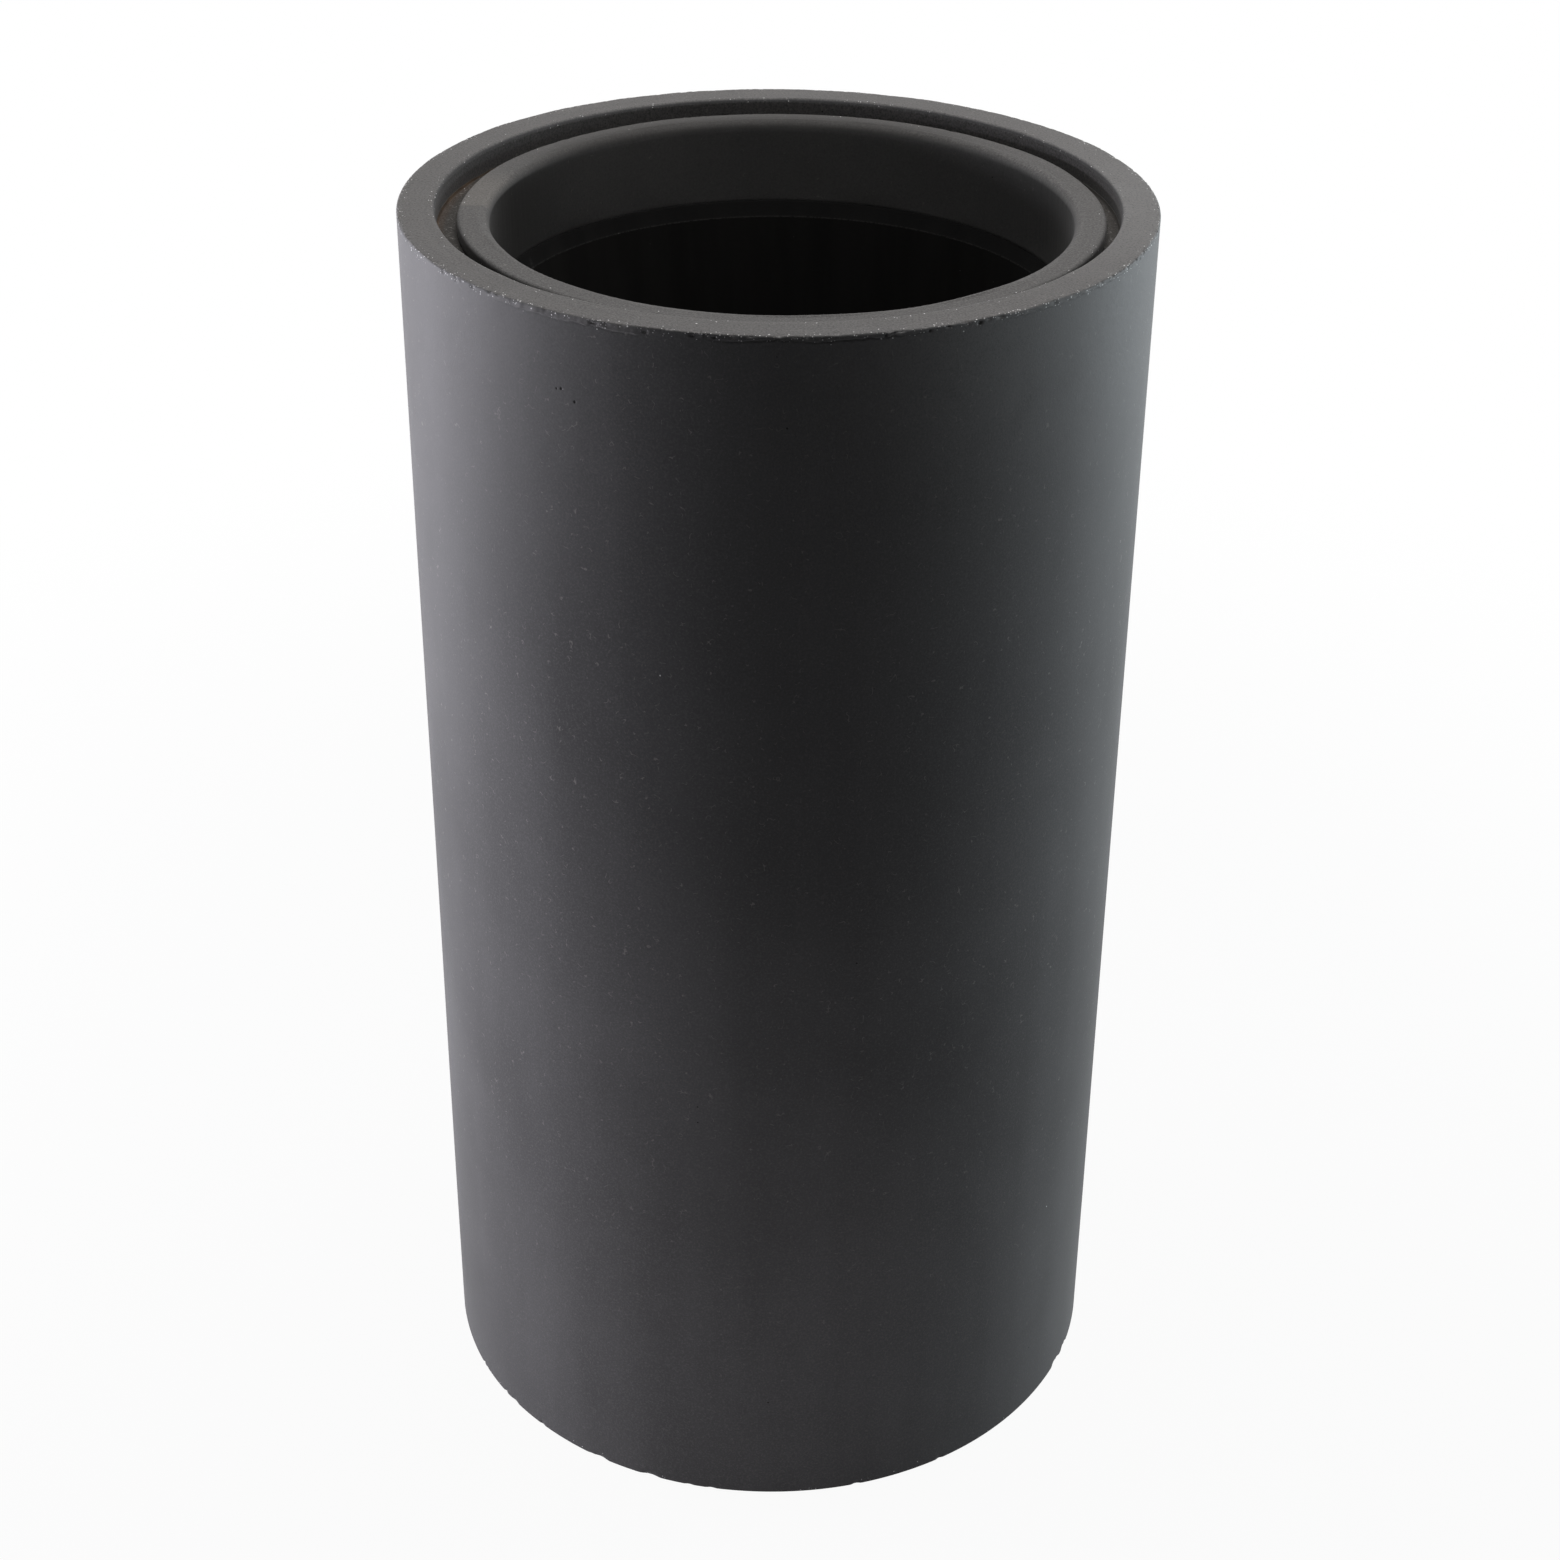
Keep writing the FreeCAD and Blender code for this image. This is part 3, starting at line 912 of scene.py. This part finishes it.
# %% Collar outline
seam_round = 0.0001
skirt_round = 0.0005
lip_foot_round = 0.001
lip_radius = collar.radius.max()
mouth_radius = collar.radius.min()
lip_height = collar.height.max()
collar_end = collar.height.min()
collar_radius = collar.radius[collar.height < collar_end + touch].max()
lip_inner_round = lip_height - collar.height[collar.radius < mouth_radius + touch].max()
lip_outer_round = lip_height - collar.height[collar.radius > lip_radius - touch].max()
collar_line = outline_through([
    (mouth_radius, lip_height, 0.8 * lip_inner_round, 8, 8),
    (mouth_radius, collar_end, seam_round, 2, 3),
    (collar_radius, collar_end, skirt_round, 2, 6),
    (collar_radius, ledge_height, lip_foot_round, 2, 3),
    (lip_radius, ledge_height, lip_foot_round, 2, 4),
    (lip_radius, lip_height, lip_outer_round, 5, 7),
])
collar_turn = turns(960)
print("collar: lip radius %.4f, mouth %.4f m" % (lip_radius, mouth_radius))

# %% Collar relief and marks
sponge_wave = 0.00022
sponge_grain = 0.00005
nick_depth = 0.0003
way = collar_line.along
lip_top = step_up(collar_line.up, 0.3, 0.9)
at_mouth = collar_line.radius < mouth_radius + touch
shown = step_up(collar_line.height, ledge_height - 0.001, ledge_height + 0.002)
shown = np.maximum(shown, at_mouth) * step_up(collar_line.height, collar_end, collar_end + 0.004)
lip_edge = way[np.argmax(collar_line.radius + collar_line.height)]
nicks = scattered_dents(collar_turn, way, lip_edge, lip_radius, 26, (0.0012, 0.0022), 0.001, 53)
collar_relief = sponge_wave * shown * rolling(collar_turn, 16, 51, way, 14.0)
collar_relief += sponge_grain * shown * rolling(collar_turn, 260, 52, way, 200.0)
collar_relief -= nick_depth * nicks
mended = step_up(np.degrees(collar_turn), 156, 168) * step_up(-np.degrees(collar_turn), -180.5, -179.5)
inner_wall = step_up(-collar_line.out, 0.8, 1.0) * at_mouth
towards_mouth = step_up(-collar_line.radius, 0.003 - lip_radius, -0.004 - mouth_radius)
# painted shade: the back of the lip and the left and right ends of the inner wall are darkened
shaded_back_of_lip = stretch(collar_turn, 50, 150, 25.0) * step_up(collar_line.up, 0.0, 0.3)
shaded_back_of_lip = shaded_back_of_lip * (0.3 + 0.5 * towards_mouth)
shaded_wall_ends = 0.9 * stretch(collar_turn, 150, 235, 20.0) + 0.5 * np.clip(np.cos(collar_turn), 0, 1) ** 8
print("collar relief: up to %.2f mm" % (1000 * collar_relief.max()))

# %% Collar piece
collar_marks = {
    "sanded_and_painted_light": lip_top,
    "worn": 0.5 * step_up(nicks, 0.3, 0.7),
    "edge": 0.15 * hump(way, lip_edge, 0.003),
    "stain_and_painted_light": 0.7 * lip_top * mended,
    "painted_shade": np.maximum(shaded_back_of_lip, shaded_wall_ends * inner_wall),
}
collar_piece = carved(
    "lipped_collar", collar_turn, collar_line, collar_relief, collar.axis, collar_painted_light_finish, collar_marks)
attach(collar_piece, "insert")
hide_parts("insert_collar")

# %% [markdown]
# ## The tub of the insert
# Under the collar hangs a black plastic tub with a flange, a sloping shoulder and a slight taper. The
# edge of the shoulder is a small ridge that shows as a thin pale line in the dark mouth, with one pale
# drip on it; the ridge's pale is dust and partly a painted highlight. Below the ridge the wall is
# painted paler as painted light, fading towards the floor. The floor has a drain hole with a boss and
# stands on a ring when the insert is out of the shell.

# %% Plastic and rubber finish
# pale dust, and on the tub's ridge a painted highlight
dust_and_highlight_tone = grey(0.07, 0.03)
pale_speck = grey(0.12, 0.05)


def dull_plastic(name, tone, dust_and_painted_light, rough, grain_scale):
    """Moulded black stuff: a dark tone, streaks of pale dust, and fine moulded grain. Of the piece's
    own values, one marks the edges and corners where dust stays, and on the tub also the shoulder's
    ridge, where it is partly a painted highlight; another lays an even pale film, which on the tub wall
    is painted light."""
    material, tree, place = new_material(name)
    streaky = effect(tree, clouds, place, Patches=14.0, Streaks=0.75)["Tone"]
    fine = effect(tree, grain, place, Scale=grain_scale)
    specks = effect(tree, dots, place, Scale=240.0, Share=0.06, Size=0.13)["Mask"]
    film = scaled(tree, streaky, 0.3, own_value(tree, "painted_light_film"))
    caught = times(tree, own_value(tree, "dust_and_painted_light"), fade(tree, fine["Tone"], 0.0, 0.7))
    colour = lay_over(tree, film, tone, dust_and_painted_light)
    colour = lay_over(tree, caught, colour, dust_and_highlight_tone)
    colour = lay_over(tree, specks, colour, pale_speck, share=0.6)
    uneven = scaled(tree, streaky, 0.15, rough)
    looks = {"Base Color": colour, "Roughness": uneven, "Specular IOR Level": 0.03}
    end_with_surface(tree, fine["Height"], 0.25, 0.0004, looks)
    return material


tub_finish = dull_plastic("black_tub", grey(0.007), grey(0.02, 0.03), 0.5, 900.0)
plug_finish = dull_plastic("black_rubber", grey(0.008), grey(0.04, 0.05), 0.62, 1400.0)
pad_finish = dull_plastic("pad_rubber", grey(0.012), grey(0.05, 0.05), 0.7, 1100.0)

# %% Tub sizes
flange_radius = tub.radius.max()
flange_end = tub.height[tub.radius > flange_radius - touch].min()
tub_wall = collar_end - flange_end
within = tub.radius < mouth_radius - touch
shoulder_end = tub.height[within].max()
tub_top = tub.radius[within & (tub.height > shoulder_end - touch)].min()
tub_drain = tub.radius.min()
at_drain = tub.height[tub.radius < tub_drain + touch]
tub_floor = at_drain.max()
boss_end = at_drain.min()
boss_radius = tub.radius[abs(tub.height - boss_end) < touch].max()
tub_underside = tub.height[abs(tub.radius - boss_radius) < touch].max()
foot_end = tub.height.min()
on_foot = tub.radius[tub.height < foot_end + touch]
upper = within & (tub.height > (shoulder_end + tub_floor) / 2)
ring = np.argmin(np.where(upper, tub.radius, flange_radius))
taper = (tub_top - tub.radius[ring]) / (shoulder_end - tub.height[ring])
tub_bottom = tub_top - taper * (shoulder_end - tub_floor)
flat_radius = tub.radius[abs(tub.height - tub_floor) < touch].max()
tub_corner = (tub_bottom - flat_radius) * math.tan((math.pi / 2 + math.atan(taper)) / 2)
print("tub: %.3f m deep, floor radius %.4f m" % (collar_end - tub_floor, tub_bottom))

# %% Tub outline
soft = 0.0005
shoulder_round = 0.002
ridge_round = 0.0004
beside_ridge = 0.0007
slope = (mouth_radius - tub_top) / (collar_end - shoulder_end)
tub_line = outline_through([
    (tub_drain, tub_floor, soft, 2, 2),
    (tub_drain, boss_end, soft, 2, 2),
    (boss_radius, boss_end, soft, 2, 2),
    (boss_radius, tub_underside, soft, 2, 6),
    (on_foot.min(), tub_underside, soft, 2, 3),
    (on_foot.min(), foot_end, soft, 2, 2),
    (on_foot.max(), foot_end, soft, 2, 3),
    (on_foot.max(), tub_underside, soft, 2, 3),
    (tub_bottom + tub_wall, tub_underside, tub_corner + tub_wall, 5, 10),
    (tub_top + tub_wall, shoulder_end, shoulder_round, 2, 4),
    (mouth_radius + tub_wall, flange_end, soft, 2, 3),
    (flange_radius, flange_end, soft, 2, 2),
    (flange_radius, collar_end, soft, 2, 3),
    (mouth_radius, collar_end, seam_round, 2, 4),
    (tub_top + beside_ridge * slope, shoulder_end + beside_ridge, 0, 0, 2),
    (tub_top, shoulder_end, ridge_round, 2, 2),
    (tub_top - beside_ridge * taper, shoulder_end - beside_ridge, 0, 0, 12),
    (tub_bottom, tub_floor, tub_corner, 5, 14),
])
tub_turn = turns(480)
print("tub outline: %d rows" % len(tub_line.radius))

# %% Tub piece
tub_wave = 0.00025
ripple_depth = 0.00015
ripple_pitch = 0.012
drip_turn = math.radians(156.5)
inner_face = (tub_line.out < -0.5) + (tub_line.up > 0.8) * (tub_line.height < shoulder_end)
off_drain = tub_line.radius > 2 * tub_drain
on_floor = (tub_line.up > 0.9) * (tub_line.height < tub_floor + 0.001) * off_drain
ripple = np.cos(2 * np.pi * tub_line.radius / ripple_pitch)
tub_relief = tub_wave * inner_face * off_drain * rolling(tub_turn, 10, 61, tub_line.along, 8.0)
tub_relief += ripple_depth * on_floor * ripple
# the ridge is paler: dust, and partly a painted highlight of the edge
ridge = hump(tub_line.height, shoulder_end, beside_ridge / 2) * (tub_line.radius < tub_top + 0.001)
drip = bowl(tub_turn, tub_line.height, drip_turn, shoulder_end + 0.002, tub_top, 0.004, 0.35) * inner_face
corner_dust = hump(tub_line.height, tub_floor, 0.01) * inner_face
# painted light: the tub wall below the ridge is paler, fading towards the floor
painted_light_wall = inner_face * step_up(-tub_line.height, -shoulder_end, beside_ridge - shoulder_end)
painted_light_wall = painted_light_wall * step_up(tub_line.height, tub_floor, shoulder_end)
tub_piece = carved("moulded_tub", tub_turn, tub_line, tub_relief, tub.axis, tub_finish, {
    "dust_and_painted_light": np.clip(0.4 * ridge + 0.5 * drip + 0.5 * corner_dust, 0, 1), "painted_light_film": 0.6 * painted_light_wall})
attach(tub_piece, "insert")
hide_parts("insert_tub")

# %% [markdown]
# ## Bungs and pads
# A rubber bung closes each drain hole: a tapered body, a flange that seals on the floor and a knob to
# pull, with fine ribs to grip. Four rubber pads under the shell keep it off the floor.

# %% Bung pieces
rubber_edge = 0.0006
seat_round = 0.0003
rubber_corner = 0.001
grip_ribs = 20
grip_depth = 0.0002


def bung(name, node, body, seat):
    """A bung on the axis of its node. The radius of the knob swells and shrinks for the ribs."""
    found = measured(node)
    flange = found.radius.max()
    low = found.height.min()
    top = found.height.max()
    plug_end = found.radius[found.height < low + touch].max()
    plug_top = found.radius[(found.height < seat + touch) & (found.radius < flange - touch)].max()
    above = found.height > seat + touch
    neck = found.radius[above].min()
    on_neck = found.height[above & (found.radius < neck + touch)]
    flange_top = on_neck.min()
    neck_top = on_neck.max()
    flange_round = flange_top - found.height[found.radius > flange - touch].max()
    knob = found.radius[found.height > neck_top - touch].max()
    knob_round = top - found.height[above & (abs(found.radius - knob) < touch)].max()
    line = outline_through([
        (0.0, low, 0, 0, 3),
        (plug_end, low, rubber_edge, 3, 4),
        (plug_top, seat, seat_round, 2, 3),
        (flange, seat, rubber_edge, 3, 2),
        (flange, flange_top, flange_round, 4, 4),
        (neck, flange_top, rubber_corner, 3, 3),
        (neck, neck_top, rubber_corner, 3, 3),
        (knob, neck_top, rubber_corner, 3, 3),
        (knob, top, knob_round, 5, 3),
        (0.0, top, 0, 0, 1),
    ])
    turn = turns(160)
    on_knob = step_up(line.radius, neck, knob) * (line.height > neck_top - 0.001)
    swell = grip_depth * on_knob * np.cos(grip_ribs * turn)
    dust = {"dust_and_painted_light": 0.3 * (line.up > 0.5)}
    radius = line.radius + swell
    piece = turned(name, turn, radius, line.height, found.axis, plug_finish, dust, poles=True)
    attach(piece, body)
    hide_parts(node)


bung("tub_bung", "tub_drain_plug", "tub_plug", tub_floor)
bung("shell_bung", "shell_drain_plug", "shell_plug", floor_height)

# %% Pad pieces
pad_count = 4
pad_edge = 0.0008
pad_top_edge = 0.0003
pad_groove = 0.0005
pad_groove_round = 0.0002
ring_count = 3
ring_depth = 0.00025


def pad(name, node):
    """A round pad with a groove round its edge and rings pressed into its underside."""
    found = measured(node)
    radius = found.radius.max()
    top = found.height.max()
    line = outline_through([
        (0.0, 0.0, 0, 0, 24),
        (radius, 0.0, pad_edge, 4, 2),
        (radius, top * 0.45, pad_groove_round, 2, 2),
        (radius - pad_groove, top * 0.55, pad_groove_round, 2, 2),
        (radius, top * 0.65, pad_groove_round, 2, 2),
        (radius, top, pad_top_edge, 2, 3),
        (0.0, top, 0, 0, 1),
    ])
    underneath = (line.up < -0.9) * (line.radius < radius - 0.002)
    pressed = ring_depth * underneath * (1 - np.cos(2 * np.pi * ring_count * line.radius / radius))
    height = line.height + pressed
    dust = {"dust_and_painted_light": 0.4}
    piece = turned(name, turns(120), line.radius, height, found.axis, pad_finish, dust, poles=True)
    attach(piece, "shell")
    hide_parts(node)


for number in range(1, pad_count + 1):
    pad("standing_pad_%d" % number, "foot_pad_%d" % number)
